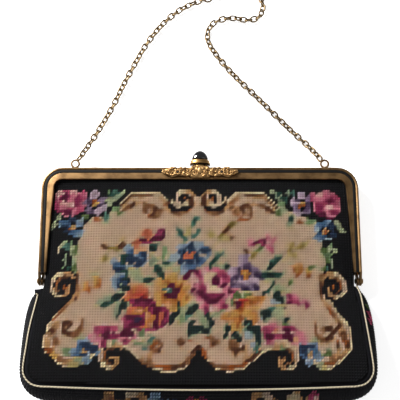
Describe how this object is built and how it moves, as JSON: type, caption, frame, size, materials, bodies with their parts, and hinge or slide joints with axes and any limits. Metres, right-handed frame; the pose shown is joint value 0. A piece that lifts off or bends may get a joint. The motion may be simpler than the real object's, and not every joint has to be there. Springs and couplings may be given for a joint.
{
  "type": "petit point handbag",
  "caption": "Petit point evening bag lying on its back: stitched floral panels, gusset, metal frame with enamel line, lever clasp with black cabochon and a long chain.",
  "frame": {"origin": "middle of the back panel's flat face, where the bag rests", "axes": "+X to the right of someone who looks at the front panel, +Y up the bag to its frame and chain, +Z away from the surface"},
  "size_m": [0.2048, 0.2693, 0.0288],
  "materials": {
    "stitched_front": "tent-stitched canvas, matt",
    "stitched_back": "tent-stitched canvas, matt",
    "stitched_gusset": "tent-stitched canvas, matt",
    "cream_cord": "twisted cotton cord, matt",
    "gilt_brass": "satin, darkened in the recesses",
    "aged_brass": "worn satin",
    "chain_bronze": "dark antique bronze",
    "black_enamel": "glossy enamel",
    "black_stone": "polished opaque black"
  },
  "bodies": {
    "bag": {"front_panel": "stitched_front", "back_panel": "stitched_back", "gusset": "stitched_gusset", "piping_front": "cream_cord", "piping_back": "cream_cord", "frame_front": "gilt_brass", "frame_back": "gilt_brass", "enamel_line_front": "black_enamel", "enamel_line_back": "black_enamel", "hinge_rivet_left": "aged_brass", "hinge_rivet_right": "aged_brass", "ornament": "gilt_brass", "clasp_pin": "aged_brass", "chain": "chain_bronze"},
    "clasp": {"clasp_lever": "gilt_brass", "clasp_enamel_ring": "black_enamel", "clasp_cabochon": "black_stone"}
  },
  "joints": [
    {"name": "clasp_lift", "type": "hinge", "parent": "bag", "child": "clasp", "pos_m": [0, 0.07245, 0.0015], "axis": [-1, 0, 0], "range_deg": [0, 28], "stiffness_Nm_per_rad": 0.02, "springref_deg": -8.59}
  ]
}
